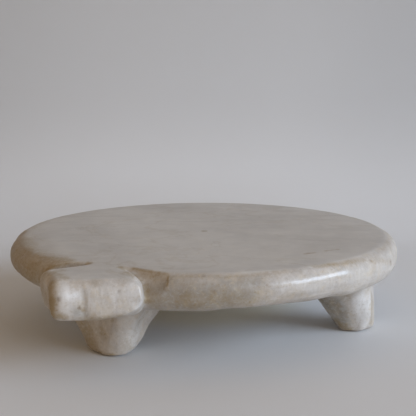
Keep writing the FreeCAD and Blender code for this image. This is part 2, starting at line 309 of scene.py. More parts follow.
def marble(settings):
    """Clouded cream stone, stained in its hollows, rubbed smooth on its rim and dulled on its face, with
    painted light and painted shade in places.
    """
    material, wire, shader = new_material("hand_carved_marble")
    place = wire.node("ShaderNodeTexCoord", output="Object")
    stain, pit, face, worn, clean, dull, polish = (
        wire.node("ShaderNodeAttribute", {"attribute_name": name}, output="Fac")
        for name in ("stain", "pit", "face", "worn", "clean", "dull", "polish"))
    side = 1 - face
    cloud, mottle, fleck, smear, speck, vein = (
        wire.noise(place, *pattern) for pattern in (CLOUD, MOTTLE, FLECK, SMEAR, SPECK, VEIN))
    vein = abs(vein - 0.5)
    streak = wire.noise(place.stretched(*STREAK_RUN), *STREAK)
    rubbed = wire.noise(place.stretched(*RUB_RUN), *RUB_MARK)

    # Lines that rubbing left round the rim, in place of rub marks low down
    east, north, height = from_axis(place)
    out_by = level_length(east, north)
    round_by = wire.math("ARCTAN2", north, east) * (SLAB_RADIUS / 10)
    ring = wire.node("ShaderNodeCombineXYZ", sockets={"X": round_by, "Y": out_by, "Z": height})
    rim = out_by.ramp(*RIM_OUT) * height.ramp(*RIM_UP) * side
    low = height.ramp(*RIM_LOW) * rim
    lines = (wire.noise(ring, *RIM_LINE) - 0.5) * (rim * 0.4 + low * 0.8)
    marked = side - low * 0.8

    # Body colour: clouds, mottling, rub marks and lines, then bare stone with painted light, painted shade,
    # and painted light on the face
    pale = cloud.ramp(0.36, 0.64) * 0.5 + mottle.ramp(0.3, 0.7) * 0.5
    pale = pale * (1 - face * 0.2) + face * 0.12 + worn * (1 - dull) * 0.25
    pale = pale + (rubbed - 0.5) * marked * 1.5 + lines * 1.6
    body = pale.most(0.0).least(1.0).blend(settings.grey, settings.cream)
    body = (clean * (0.55 + (mottle - 0.5) * 0.7 + (rubbed - 0.5) * 0.9)).blend(body, settings.clean)
    body = (dull * (0.52 + (mottle - 0.5) * 0.9)).blend(body, settings.painted_shade_colour)
    body = face.blend(body, settings.face_painted_light, kind="MULTIPLY")

    # Stain soaks in where the attribute says, in patches, and with it the painted shade that the attribute
    # also holds
    patch = mottle * 0.35 + fleck * 0.35 + rubbed * 0.3
    soaked = (stain * 1.3 + (patch - 0.5) * 1.9).ramp(0.05, 1.15) * stain.ramp(0.0, 0.3)
    layers = (
        # Streaks, dark and light, and a faint vein, most of all on the face
        (streak.ramp(0.52, 0.74) * (0.04 + face * 0.24), darker(settings.grey, 0.62)),
        (streak.ramp(0.46, 0.26) * (0.04 + face * 0.16), settings.cream),
        (vein.ramp(0.018, 0.0) * face * 0.14, settings.stain),
        # Smears, brown and white flecks, and warm and cool specks, most of all on the sides
        (smear.ramp(0.46, 0.72) * side * (0.4 - clean * 0.25), settings.stain),
        (fleck.ramp(0.50, 0.74) * (0.05 + side * 0.28), settings.stain),
        (fleck.ramp(0.46, 0.24) * (0.05 + side * 0.38 - rim * 0.18), settings.clean),
        (speck.ramp(0.50, 0.72) * (0.10 + side * 0.34), settings.ochre),
        (speck.ramp(0.50, 0.28) * (0.10 + side * 0.30) * (1 - clean.least(1.0) * 0.75), settings.ash),
        (soaked * 0.82, settings.stain),
        (pit, settings.pit_colour),
    )
    for share, paint in layers:
        body = share.blend(body, paint)
    body.into(shader, "Base Color")

    gloss = 0.5 - polish * 0.33 + (mottle - 0.5) * 0.2 + soaked * 0.14 + pit * 0.3
    gloss.into(shader, "Roughness")
    relief = mottle * 0.5 + fleck * 0.24 + rubbed * marked * 0.4 + lines * 0.5
    bump = wire.node("ShaderNodeBump", sockets={"Strength": 0.35, "Distance": 0.6 * MM, "Height": relief})
    bump.into(shader, "Normal")
    return material


def lime_putty(settings):
    """Dull sandy putty."""
    material, wire, shader = new_material("lime_putty")
    place = wire.node("ShaderNodeTexCoord", output="Object")
    sand = wire.noise(place, *SAND)
    smudge = wire.noise(place, *SMUDGE)
    tone = (sand * 0.5 + smudge * 0.5).ramp(0.3, 0.7)
    tone.blend(darker(settings.putty, 0.78), settings.putty).into(shader, "Base Color")
    (0.78 + sand * 0.18).into(shader, "Roughness")
    bump = wire.node("ShaderNodeBump", sockets={"Strength": 0.5, "Distance": 0.4 * MM, "Height": sand})
    bump.into(shader, "Normal")
    return material


# ---- the carved skin

# Points nearer to each other than this are one
WELD = 0.001 * MM


def link(name, data):
    """An object at the origin that shows a mesh, a lamp or a camera."""
    made = bpy.data.objects.new(name, data)
    bpy.context.scene.collection.objects.link(made)
    return made


def taken(piece):
    """A plain mesh of an object as its modifiers leave it, and the object gone."""
    graph = bpy.context.evaluated_depsgraph_get()
    mesh = bpy.data.meshes.new_from_object(piece.evaluated_get(graph))
    bpy.data.objects.remove(piece)
    return mesh


def finished(work, name):
    """A new mesh from a bmesh, which is then freed."""
    mesh = bpy.data.meshes.new(name)
    work.to_mesh(mesh)
    work.free()
    return mesh


def skinned_block(size):
    """One closed skin round all the stones as they stand, with its sharp creases eased."""
    shell = bmesh.new()
    for name in STONES + BEDDINGS:
        node = bmesh.new()
        node.from_mesh(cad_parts[name].data)
        bmesh.ops.remove_doubles(node, verts=node.verts, dist=WELD)
        copy = finished(node, name + "_copy")
        shell.from_mesh(copy)
        bpy.data.meshes.remove(copy)
    mesh = finished(shell, "joined_stones")
    mesh.materials.clear()
    block = link("block", mesh)
    skin = block.modifiers.new("skin", "REMESH")
    skin.mode = "VOXEL"
    skin.voxel_size = size
    ease = block.modifiers.new("ease", "SMOOTH")
    ease.factor = 0.5
    ease.iterations = 4
    return taken(block)


def largest_island(work):
    """Drop every island of a mesh but the largest, so that no closed cavity is left inside."""
    unseen = set(work.verts)
    islands = []
    while unseen:
        reached = [unseen.pop()]
        island = list(reached)
        while reached:
            vert = reached.pop()
            for edge in vert.link_edges:
                far = edge.other_vert(vert)
                if far in unseen:
                    unseen.remove(far)
                    island.append(far)
                    reached.append(far)
        islands.append(island)
    islands.sort(key=len)
    for island in islands[:-1]:
        bmesh.ops.delete(work, geom=island, context="VERTS")


def tree_of(name):
    """A node's surface, for finding what is near it."""
    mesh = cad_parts[name].data
    return BVHTree.FromPolygons([v.co for v in mesh.vertices], [tuple(p.vertices) for p in mesh.polygons])


def owners(work):
    """Mark each face of the skin with the number of the stone that it lies on."""
    layer = work.faces.layers.int.new("owner")
    near, rounds = 4 * MM, 20
    slab = tree_of(STONES[0])
    for number, name in enumerate(STONES[1:], 1):
        stone = tree_of(name)
        low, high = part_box(name)
        for face in work.faces:
            middle = face.calc_center_median()
            if any(middle[i] < low[i] - near or middle[i] > high[i] + near for i in range(3)):
                continue
            if stone.find_nearest(middle)[3] < slab.find_nearest(middle)[3]:
                face[layer] = number
    # A cut runs through each vertex once at most
    for _ in range(rounds):
        pinched = []
        for vert in work.verts:
            cut = [edge for edge in vert.link_edges if len({face[layer] for face in edge.link_faces}) > 1]
            if len(cut) > 2:
                pinched.append(vert)
        if not pinched:
            break
        for vert in pinched:
            for face in vert.link_faces:
                face[layer] = 0


def at_vertices(mesh, what):
    """A row for each vertex: its place for "co", its direction for "normal"."""
    found = np.empty(len(mesh.vertices) * 3)
    mesh.vertices.foreach_get(what, found)
    return found.reshape(-1, 3)


def neighbours(mesh):
    """A row for each edge: the vertices at its ends."""
    ends = np.empty(len(mesh.edges) * 2, dtype=np.int64)
    mesh.edges.foreach_get("vertices", ends)
    return ends.reshape(-1, 2)


def neighbours_mean(values, ends):
    """The mean of the values at each vertex's neighbours."""
    count = np.maximum(np.bincount(ends.ravel(), minlength=len(values)), 1)
    total = np.bincount(ends[:, 0], values[ends[:, 1]], len(values))
    total += np.bincount(ends[:, 1], values[ends[:, 0]], len(values))
    return total / count


def averaged(values, ends, rounds):
    """Values at the vertices, each moved halfway to its neighbours' mean a number of times."""
    for _ in range(rounds):
        values = 0.5 * values + 0.5 * neighbours_mean(values, ends)
    return values


def hollowness(mesh, rounds):
    """How hollow the skin is at each vertex, in 1/m: below zero on edges, above in creases."""
    ends = neighbours(mesh)
    at = at_vertices(mesh, "co")
    count = np.maximum(np.bincount(ends.ravel(), minlength=len(at)), 1)
    lengths = np.linalg.norm(at[ends[:, 0]] - at[ends[:, 1]], axis=1)
    span = np.bincount(ends.ravel(), np.repeat(lengths, 2), len(at)) / count
    pull = np.column_stack([neighbours_mean(at[:, axis], ends) - at[:, axis] for axis in range(3)])
    bend = np.einsum("ij,ij->i", pull, at_vertices(mesh, "normal")) / np.maximum(span, WELD) ** 2
    return averaged(bend, ends, rounds)


def keep(mesh, name, values):
    """Store a value for each vertex."""
    layer = mesh.attributes.new(name, "FLOAT", "POINT")
    layer.data.foreach_set("value", np.asarray(values, dtype=np.float32))


def step(values, low, high):
    """A smooth step from 0 to 1."""
    share = np.clip((values - low) / (high - low), 0, 1)
    return share * share * (3 - 2 * share)


def nearness(at, line, radius):
    """From 1 on a line through points to 0 at a radius from it, both in millimetres."""
    line = [np.array(point) * MM for point in line]
    radius = radius * MM
    best = np.full(len(at), np.inf)
    if len(line) == 1:
        best = np.linalg.norm(at - line[0], axis=1)
    for start, end in zip(line, line[1:]):
        run = end - start
        share = np.clip((at - start) @ run / (run @ run), 0, 1)
        best = np.minimum(best, np.linalg.norm(at - start - share[:, None] * run, axis=1))
    share = np.clip(1 - (best / radius) ** 2, 0, 1)
    return share * share


def strongest(at, rows, start):
    """The strongest of a table's marks at each place, and no less than a start."""
    for line, radius, strength in rows:
        start = np.maximum(start, strength * nearness(at, line, radius))
    return start


# Where the carver's hand shows, in millimetres: a line of points, how wide, and how far the stone moves
STROKES = (
    # The lug's underside: low at the tip, rising to the right end, and cut away below the left side
    ([(-2, -131, 33), (12, -122, 33)], 16, (0, 0, -1.3)),
    ([(33, -108.5, 34)], 12, (-0.5, 0.3, 2.6)),
    ([(35, -106, 36)], 11, (-1.4, 0.3, 1.4)),
    ([(-22, -121, 34), (-13, -127, 34)], 15, (1.2, 1.6, 0.5)),
    # Its end: a soft top edge, a rounder right corner, and a shallow valley with a cut down its middle
    ([(4, -128, 56.5), (27, -110, 56.5)], 11, (-0.45, 0.6, -0.9)),
    ([(35, -104, 55)], 12, (-1.6, 0.4, -1.0)),
    ([(5, -131, 54)], 11, (-0.5, 0.6, 0)),
    ([(12, -126.3, 37), (12, -126.3, 49)], 5.5, (-0.25, 0.32, 0)),
    ([(11.7, -126.5, 36), (11.7, -126.5, 49)], 1.9, (-0.25, 0.32, 0)),
    ([(2, -132, 36), (12, -125.5, 36)], 8, (-0.55, 0.7, 0.5)),
    # The rim: fuller below the right shoulder and at the far right, rounder on top at the left
    ([(26, -97, 36), (50, -92, 36), (56, -89, 36.5)], 17, (0.2, -0.4, -1.6)),
    ([(112, -20, 37), (119, 10, 37), (117, 40, 37)], 15, (0.7, 0.1, -1.2)),
    ([(-102, -48, 57), (-90, -68, 57), (-66, -88, 57)], 13, (0.3, 0.3, -1.0)),
    ([(-84, -66, 57), (-54, -90, 57)], 19, (0, 0, -0.7)),
    # The front foot: wider at its left root, narrower at its base and at its right
    ([(-23, -79, 2)], 14, (1.7, 1.0, 0.2)),
    ([(16, -61, 29), (11, -63, 18)], 15, (-4.2, -0.5, 0)),
    ([(-30, -77, 22)], 14, (-3.0, -1.2, 0)),
    ([(3, -76.5, 3)], 10, (1.6, -1.0, 0)),
    ([(5.5, -72, 2)], 9, (1.5, -0.5, -0.4)),
    ([(16, -60, 31)], 8, (-1.8, -0.2, 0)),
    ([(16, -51, 29)], 13, (-4.0, -0.2, 0)),
    # The right foot: cut back at its outer heel, with a flat down its front corner
    ([(103.5, 35.5, 2)], 9, (-1.6, -0.3, 0.6)),
    ([(101, 26.5, 24), (99, 27, 8)], 8, (-0.7, 0.8, 0.3)),
)

# Where a rounding is rubbed up to a plane, in millimetres: a line of points, how wide, a point of the
# plane, the plane's normal, and how far the stone comes up to it
PLANED = (
    ([(33, -109, 36.5), (33, -109, 51)], 12, (22, -118.4, 45), (0.619, -0.786, 0), 0.95),
    ([(-19, -79, 1.5), (-8, -81.5, 1.5), (0, -80.5, 1.5), (5, -75, 1.5), (7, -70, 1.5)], 7,
     (0, 0, 0.25), (0, 0, -1), 0.85),
    ([(89, 28, 1.5), (100, 32, 1.5)], 7, (0, 0, 0.25), (0, 0, -1), 0.85),
)

# Where stain has soaked in, and where shade is painted in its colour, in millimetres: a line of points, how
# wide, and how strong
STAINS_AND_PAINTED_SHADE = (
    # In the angles beside the lug
    ([(-40, -101, 47), (-28.4, -99.5, 53.1), (-20, -96.5, 55.2)], 2.2, 0.6),
    ([(-20, -96.5, 55.2), (-13, -94, 56.2)], 1.8, 0.4),
    ([(-40, -100, 47), (-25, -98, 53)], 12, 0.35),
    ([(12.5, -95.5, 56.3), (21.8, -93.3, 56.2), (31, -93.3, 56.2), (40, -92.8, 56)], 2.3, 0.5),
    ([(19, -92.5, 56.3), (30, -93.2, 56.2)], 3.0, 0.66),
    ([(11.4, -93, 55.8), (15, -96, 56.2)], 2.0, 0.5),
    ([(22, -96, 54), (34, -95, 54)], 5, 0.35),
    # Along the lug's top right edge: stain that also paints shade over the edge's highlight
    ([(11.2, -94.5, 56.2), (15.8, -96.7, 56.1), (24, -102, 56.3), (30, -107.4, 55.9)], 3.2, 0.6),
    # Painted shade: a dark line where the lug's left side stands in front of the rim
    ([(-41, -97.7, 43), (-36.7, -99.7, 48.8)], 6, 0.6),
    ([(-42, -91, 56.3), (-22, -94, 56.3)], 7, 0.55),
    ([(39, -101, 43)], 9, 0.4),
    ([(30.5, -99, 49), (32.3, -100.3, 42)], 5, 0.6),
    ([(40.6, -93, 55.4), (41.6, -95.2, 53), (42.6, -97, 50.5)], 1.3, 0.7),
    # On the lug
    ([(-5, -133, 53), (-4, -134.5, 46)], 8, 0.66),
    ([(-4, -134.5, 45), (-4, -134.5, 37)], 8, 0.8),
    ([(-11, -129, 45), (-9, -130.5, 38)], 8, 0.55),
    ([(-18, -124, 52), (-14, -127, 42)], 11, 0.42),
    ([(-21, -121.5, 54), (-19, -123, 44)], 7, 0.34),
    ([(-3, -134.5, 38), (3, -132.5, 35.5)], 5, 0.6),
    ([(-12, -121, 56.5), (-1, -126, 56.5)], 6, 0.55),
    ([(22, -103, 56.5)], 7, 0.5),
    ([(-6, -128, 56)], 9, 0.35),
    ([(-11, -116, 56.5)], 8, 0.48),
    ([(10, -124, 34), (24, -114, 35)], 5, 0.4),
    ([(11.7, -126.5, 36), (11.7, -126.5, 40)], 2.5, 0.7),
    # On the feet
    ([(-27, -78, 22), (-20, -79.5, 4)], 11, 0.58),
    ([(-14, -80, 27), (10, -70, 29)], 11, 0.32),
    ([(12.5, -63.5, 22), (5, -67, 6)], 3.5, 0.35),
    ([(-16, -80, 1), (-4, -81, 1)], 3, 0.7),
    ([(-3, -81, 22), (4, -77, 25)], 4, 0.45),
    ([(-12, -82, 15), (-9, -82, 11)], 5, 0.4),
    ([(9, -68, 26), (12.5, -65, 18)], 4, 0.4),
    ([(10, -63, 27), (6, -70, 16), (3, -76, 8)], 9, 0.36),
    ([(104.8, 34.3, 24), (104.3, 38.4, 5)], 4, 0.5),
    ([(85, 27, 6), (92, 30, 1)], 6, 0.6),
    ([(94, 17, 27), (97, 30, 3)], 6, 0.3),
    ([(-84, 74, 22), (-82, 76, 4)], 10, 0.45),
    ([(-70, 88, 26), (-74, 84, 12)], 8, 0.4),
    # Round the rim; on its left, turned from the window, this is partly painted shade
    ([(-112, -10, 47), (-95, -55, 47), (-75, -78, 47), (-44, -98, 46)], 18, 0.56),
    ([(-84, -60, 56.5), (-64, -79, 56.5), (-42, -91, 56.3), (-30, -94, 56.3)], 13, 0.48),
    ([(-119, 15, 46), (-114, -10, 47)], 19, 0.45),
    ([(-118, 42, 44), (-119, 15, 46)], 19, 0.28),
    ([(-72, 110, 42), (-20, 132, 43), (40, 127, 42)], 15, 0.24),
    ([(45, -97, 42), (62, -88, 42), (84, -70, 43)], 12, 0.35),
    ([(64, -87, 48), (70, -83, 48)], 6, 0.35),
    ([(45, -92, 55), (68, -80, 54.5), (84, -64, 54.5)], 3.5, 0.32),
    ([(100, -41, 55.7), (108, -26, 55.2), (115, -6, 54.3)], 4, 0.42),
    ([(117, -1, 53), (119.6, 24, 47)], 5, 0.35),
    # Thin marks on the face
    ([(1.0, 11.9, 56.5), (2.4, 12.6, 56.5)], 2.0, 1.2),
    ([(84.5, -19.2, 56.5), (88, -13.5, 56.5)], 2.6, 0.5),
    ([(91.5, -6.5, 56.5), (96, 1.5, 56.5)], 2.6, 0.4),
    ([(-63.3, -4, 56.5), (-55.5, -1.8, 56.5)], 2, 0.3),
)

# Where the stone is rubbed bare and pale, and where light is painted on it as paler patches (the lug's
# highlight, the lit sides of the feet, the rim beside its highlight), in the same way
BARE_AND_LIT = (
    ([(15, -124, 47), (31, -111, 46)], 14, 0.62),
    ([(7, -130, 48.5)], 8, 1.6),
    ([(16, -123, 49), (22, -118.5, 46)], 8, 0.82),
    ([(4, -132, 44)], 9, 0.6),
    ([(33, -108.5, 41)], 7, 1.3),
    ([(20, -117, 55), (30, -109, 55)], 5, 0.5),
    ([(14, -62, 26), (12, -66.5, 21), (6, -72.5, 12)], 9.5, 1.8),
    ([(101, 26, 21), (100.5, 28, 7)], 11, 1.6),
    ([(93.5, 20.5, 21), (95.5, 23, 15)], 5, 0.9),
    ([(92, -61.5, 49.5), (97, -54, 50)], 8, 0.6),
    ([(98, -48, 53), (106, -35, 53)], 6, 0.6),
)

# Where shade is painted on as a darker, duller colour, in the same way
PAINTED_SHADE = (
    ([(41, -96.5, 42), (67, -85, 40.5)], 18, 1.2),
    ([(40, -97, 47), (66, -87, 46.5), (78, -76, 46)], 9, 1.4),
    ([(44, -95.5, 53), (46, -96, 49)], 7, 1.3),
    ([(68, -84, 50), (82, -71.5, 51)], 7, 1.1),
    ([(110, -30, 51), (117, -9, 49.5)], 6, 0.35),
    ([(78, 13.5, 26), (87.5, 19, 20), (90.5, 25.5, 7)], 8.5, 1.5),
    ([(79, 15, 22), (84, 20, 12)], 7, 1.7),
    ([(9.5, -128.5, 38.5), (11, -126.5, 37)], 5, 1.1),
    ([(11.9, -126.3, 38), (11.9, -126.3, 50)], 2.6, 0.6),
    ([(-119, 20, 42), (-112, -10, 44), (-95, -55, 42), (-44, -98, 42)], 16, 0.3),
    ([(-100, 82, 40), (-40, 128, 40), (50, 124, 40), (104, 74, 40)], 14, 0.5),
)

# Where hands and cloths have polished it, in the same way
POLISH = (
    ([(82, -71, 50), (93, -57, 50.5)], 12, 0.8),
    ([(95, -54, 50.5), (109, -28, 50.5)], 11, 1.0),
    ([(7, -130, 48.5)], 8, 0.8),
    ([(35, -107, 45)], 8, 0.6),
)

# Single pits, in millimetres: the place, how wide, and how strong
PITS = (
    ((1.6, 12.2, 56.5), 1.6, 0.3),
    ((85.2, -16.4, 56.5), 2.0, 0.35),
    ((57.5, -86, 55.3), 1.6, 0.6),
    ((64.4, -86.8, 47.2), 1.5, 0.5),
    ((85.8, -69.1, 49.6), 1.5, 0.4),
    ((117.2, -0.9, 52.9), 1.8, 0.5),
    ((119.6, 24, 47.2), 1.8, 0.45),
    ((1.1, -134.1, 46), 1.4, 0.85),
    ((9.9, -127.9, 41), 1.6, 0.9),
    ((25.6, -115.6, 49), 1.2, 0.6),
)

# The settings that the dressing's nodes take, each as an input of that name
DRESSING = ("wobble_height", "wobble_size", "tool_depth", "tool_size", "pit_depth", "pit_spacing", "seed")

# How far the face falls away towards its edge, and where
FALL, FALL_OUT, FALL_UP = 0.6 * MM, (94 * MM, 113 * MM), (TOP - 12 * MM, TOP - 3 * MM)
# How far behind its plane a place may lie and still be rubbed up to it
PLANED_REACH = (4.5 * MM, 1.5 * MM)
# The face, and the slab's underside in from the rim: which way the stone faces there, and where it is
LEVEL, NEAR_TOP = (0.93, 0.995), (TOP - 4 * MM, TOP - 1 * MM)
FACING_DOWN, NEAR_UNDERSIDE = (0.8, 0.97), (UNDERSIDE - 4 * MM, UNDERSIDE - 1 * MM)
IN_FROM_RIM = (SLAB_RADIUS - 6 * MM, SLAB_RADIUS - 14 * MM)
# How sharply a crease bends to hold stain, and an edge to be worn, in 1/m
CREASED, EDGED = (50, 200), (60, 160)


def dressing_tree(values):
    """Nodes that rub a skin uneven, mark it with flats and pits, and note where they are."""
    tree = bpy.data.node_groups.new("hand_dressing", "GeometryNodeTree")
    add = tree.interface.new_socket
    add("Geometry", in_out="INPUT", socket_type="NodeSocketGeometry")
    for name, value in values.items():
        add(name, in_out="INPUT", socket_type="NodeSocketFloat").default_value = value
    add("Material", in_out="INPUT", socket_type="NodeSocketMaterial")
    add("Geometry", in_out="OUTPUT", socket_type="NodeSocketGeometry")
    wire = Wire(tree)
    given = wire.node("NodeGroupInput")
    place = wire.node("GeometryNodeInputPosition")
    normal = wire.node("GeometryNodeInputNormal")
    face, mark = (wire.node("GeometryNodeInputNamedAttribute", {"data_type": "FLOAT"}, {"Name": name})
                  for name in ("face", "mark"))
    seed = given.other("Seed")

    # Humps and flats, only inwards, so that the stones stay within the solids' outline
    rough = 1 - face * 0.9
    wobble = wire.noise(place, given.other("Wobble size"), 1.5, seed=seed)
    wobble = (wobble - 0.72).least(0.0) * given.other("Wobble height")
    sockets = {"Vector": place, "W": seed, "Scale": 1 / given.other("Tool size"), "Smoothness": 0.35}
    flats = wire.node("ShaderNodeTexVoronoi", {"voronoi_dimensions": "4D", "feature": "SMOOTH_F1"}, sockets)
    flats = (flats - 0.6).least(0.0) * given.other("Tool depth")

    # Pits in some of the cells, in patches, and those that are listed
    sockets = {"Vector": place, "W": seed + 5.0, "Scale": 1 / given.other("Pit spacing")}
    cells = wire.node("ShaderNodeTexVoronoi", {"voronoi_dimensions": "4D"}, sockets)
    chosen = wire.node("FunctionNodeSeparateColor", sockets={"Color": cells.other("Color")})
    pit = cells.ramp(0.10, 0.03) * chosen.ramp(0.55, 0.8)
    pit = pit * wire.noise(place, 0.05, 2.0, seed=seed + 9.0).ramp(0.45, 0.6)
    pit = pit.most(mark)
    move = wobble * rough + flats * rough - pit * given.other("Pit depth")
    offset = wire.node("ShaderNodeVectorMath", {"operation": "SCALE"}, {0: normal, "Scale": move})

    shape = given.other("Geometry")
    shape = wire.node("GeometryNodeStoreNamedAttribute", {"data_type": "FLOAT", "domain": "POINT"},
                      {"Geometry": shape, "Name": "pit", "Value": pit})
    shape = wire.node("GeometryNodeSetPosition", sockets={"Geometry": shape, "Offset": offset})
    shape = wire.node("GeometryNodeRealizeInstances", sockets={"Geometry": shape})
    sockets = {"Geometry": shape, "Material": given.other("Material")}
    shape = wire.node("GeometryNodeSetMaterial", sockets=sockets)
    wire.node("NodeGroupOutput", sockets={"Geometry": shape})
    return tree


def dressed(mesh, settings, material):
    """A mesh with the hand dressing put on it."""
    block = link("block", mesh)
    values = {key.replace("_", " ").capitalize(): float(getattr(settings, key)) for key in DRESSING}
    dressing = block.modifiers.new("dressing", "NODES")
    dressing.node_group = dressing_tree(values)
    values["Material"] = material
    for item in dressing.node_group.interface.items_tree:
        if item.in_out == "INPUT" and item.name in values:
            dressing[item.identifier] = values[item.name]
    return taken(block)


def carve(mesh, out):
    """Move the skin by the strokes and the planing, and let the face fall away towards its edge."""
    at = at_vertices(mesh, "co")
    moved = at.copy()
    for line, radius, push in STROKES:
        moved += nearness(at, line, radius)[:, None] * np.array(push) * MM
    for line, radius, point, normal, most in PLANED:
        behind = (np.array(point) * MM - at) @ normal
        share = most * nearness(at, line, radius) * step(behind, *PLANED_REACH)
        moved += (share * np.maximum(behind, 0))[:, None] * np.array(normal)
    moved[:, 2] -= FALL * step(out, *FALL_OUT) * step(at[:, 2], *FALL_UP)
    mesh.vertices.foreach_set("co", moved.ravel())
    mesh.update()


def note_marks(mesh, out):
    """Store where the stone is pitted, stained, bare, polished and worn, and where shade and light are
    painted on it.
    """
    at = at_vertices(mesh, "co")
    height = at[:, 2]
    none = np.zeros(len(at))
    bend = hollowness(mesh, 6)
    soak = 0.7 * step(bend, *CREASED) * (1 - 0.7 * step(height, *NEAR_TOP))
    # The slab's underside was never rubbed clean
    below = step(-at_vertices(mesh, "normal")[:, 2], *FACING_DOWN) * step(height, *NEAR_UNDERSIDE)
    soak = np.maximum(soak, 0.25 * below * step(out, *IN_FROM_RIM))
    pits = [([point], radius, strength) for point, radius, strength in PITS]
    for name, rows, start in (("mark", pits, none), ("stain", STAINS_AND_PAINTED_SHADE, soak), ("clean", BARE_AND_LIT, none),
                              ("dull", PAINTED_SHADE, none), ("polish", POLISH, none)):
        keep(mesh, name, strongest(at, rows, start))
    keep(mesh, "worn", step(-bend, *EDGED))


def carved_block(settings, material):
    """The whole board as one carved mesh, each face marked with the stone that it is on."""
    mesh = skinned_block(settings.skin)
    work = bmesh.new()
    work.from_mesh(mesh)
    largest_island(work)
    owners(work)
    work.to_mesh(mesh)
    work.free()
    mesh.update()

    at = at_vertices(mesh, "co")
    face = step(at_vertices(mesh, "normal")[:, 2], *LEVEL) * step(at[:, 2], *NEAR_TOP)
    keep(mesh, "face", averaged(face, neighbours(mesh), 3))
    out = np.hypot(at[:, 0] - AXIS.x, at[:, 1] - AXIS.y)
    carve(mesh, out)
    note_marks(mesh, out)
    return dressed(mesh, settings, material)


# ---- cutting the stones apart

# Points on each side of a mortise, and round a socket
MORTISE_POINTS, SOCKET_POINTS = 8, 40


def rectangle(low, high, plane, count):
    """Points round a rectangle that stands across Y."""
    corners = [low, (high[0], low[1]), high, (low[0], high[1])]
    points = []
    for (x, z), (to_x, to_z) in zip(corners, corners[1:] + corners[:1]):
        for share in (number / count for number in range(count)):
            points.append(Vector((x + (to_x - x) * share, plane, z + (to_z - z) * share)))
    return points


def circle(middle, radius, height, count):
    """Points round a level circle."""
    turns = [2 * math.pi * number / count for number in range(count)]
    return [Vector((middle.x + radius * math.cos(t), middle.y + radius * math.sin(t), height)) for t in turns]


def putty_gap():
    """The putty's thickness: what a foot's putty stands above the foot's spigot."""
    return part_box("front_foot_bedding")[1].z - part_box("front_foot")[1].z


def joint_of(name, putty):
    """A stone's joint with the slab, with or without its putty: its section, its run and its direction."""
    inset = 0.0 if putty else putty_gap()
    if name == "handle_lug":
        low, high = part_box("handle_bedding")
        corners = (low.x + inset, low.z + inset), (high.x - inset, high.z - inset)
        points = rectangle(*corners, low.y, MORTISE_POINTS)
        return points, Vector((0, high.y - low.y - inset, 0)), Vector((0, 1, 0))
    low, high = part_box(name + "_bedding")
    radius = (high.x - low.x) / 2 - inset
    points = circle((low + high) / 2, radius, low.z, SOCKET_POINTS)
    return points, Vector((0, 0, high.z - low.z - inset)), Vector((0, 0, 1))


def rings_of(work):
    """The open edges of a mesh, marked sharp, as rings of vertices, each in order."""
    # A dict keeps the edges' order, so that each run starts a ring at the same edge
    unseen = dict.fromkeys(edge for edge in work.edges if edge.is_boundary)
    rings = []
    while unseen:
        edge, _ = unseen.popitem()
        edge.smooth = False
        ring = list(edge.verts)
        while True:
            onward = [side for side in ring[-1].link_edges if side in unseen]
            if not onward:
                break
            del unseen[onward[0]]
            onward[0].smooth = False
            ring.append(onward[0].other_vert(ring[-1]))
        rings.append(ring[:-1])
    return rings


def middle_of(points):
    return sum(points, Vector()) / len(points)


def turned_area(points, along):
    """Twice the area inside a ring, seen along a direction: its sign says which way it runs."""
    middle = middle_of(points)
    pairs = zip(points, points[1:] + points[:1])
    return sum((a - middle).cross(b - middle).dot(along) for a, b in pairs)


def progress(points):
    """The share of a ring's length that is done at each of its points, and at its end."""
    done = [0.0]
    for a, b in zip(points, points[1:] + points[:1]):
        done.append(done[-1] + (b - a).length)
    return [length / done[-1] for length in done]


def close_joint(work, ring, points, run, along):
    """Close a ring with a land round a socket or spigot of a section, and sink or raise that by a run."""
    edge = [vert.co.copy() for vert in ring]
    if turned_area(edge, along) * turned_area(points, along) < 0:
        points = points[::-1]
    start = min(range(len(points)), key=lambda i: (points[i] - edge[0]).length)
    points = points[start:] + points[:start]
    first = [work.verts.new(point) for point in points]
    last = [work.verts.new(point + run) for point in points]
    made = []
    outer, inner = progress(edge), progress(points)
    i = j = 0
    while i < len(ring) or j < len(first):
        here = ring[i % len(ring)], first[j % len(first)]
        if j == len(first) or (i < len(ring) and outer[i + 1] <= inner[j + 1]):
            i += 1
            made.append(work.faces.new((here[0], ring[i % len(ring)], here[1])))
        else:
            j += 1
            made.append(work.faces.new((here[0], first[j % len(first)], here[1])))
    count = len(first)
    for i in range(count):
        made.append(work.faces.new((first[i], first[(i + 1) % count], last[(i + 1) % count], last[i])))
    made.append(work.faces.new(last))
    return made


def cut_stone(name):
    """One stone, cut from the carved block and closed at its joints."""
    number = STONES.index(name)
    work = bmesh.new()
    work.from_mesh(bpy.data.meshes["carved_block"])
    layer = work.faces.layers.int["owner"]
    others = [face for face in work.faces if face[layer] != number]
    bmesh.ops.delete(work, geom=others, context="FACES")
    for face in work.faces:
        face.smooth = True
    joints = STONES[1:] if number == 0 else (name,)
    inside = []
    rings = rings_of(work)
    if len(rings) != len(joints):
        raise RuntimeError(f"{name} is cut at {len(rings)} places")
    for joint in joints:
        points, run, along = joint_of(joint, putty=number == 0)
        middle = middle_of(points)
        ring = min(rings, key=lambda found: (middle_of([vert.co for vert in found]) - middle).length)
        inside += close_joint(work, ring, points, run, along)
    for face in inside:
        face.smooth = False
    bmesh.ops.recalc_face_normals(work, faces=work.faces)
    still_open = [edge for edge in work.edges if not edge.is_manifold]
    if still_open:
        raise RuntimeError(f"{name} has {len(still_open)} open edges")
    mesh = finished(work, name + "_stone")
    mesh.materials.clear()
    mesh.materials.append(bpy.data.materials["hand_carved_marble"])
    piece = link(name + "_stone", mesh)
    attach(piece, "root")
    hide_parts(name)


# ---- the stage

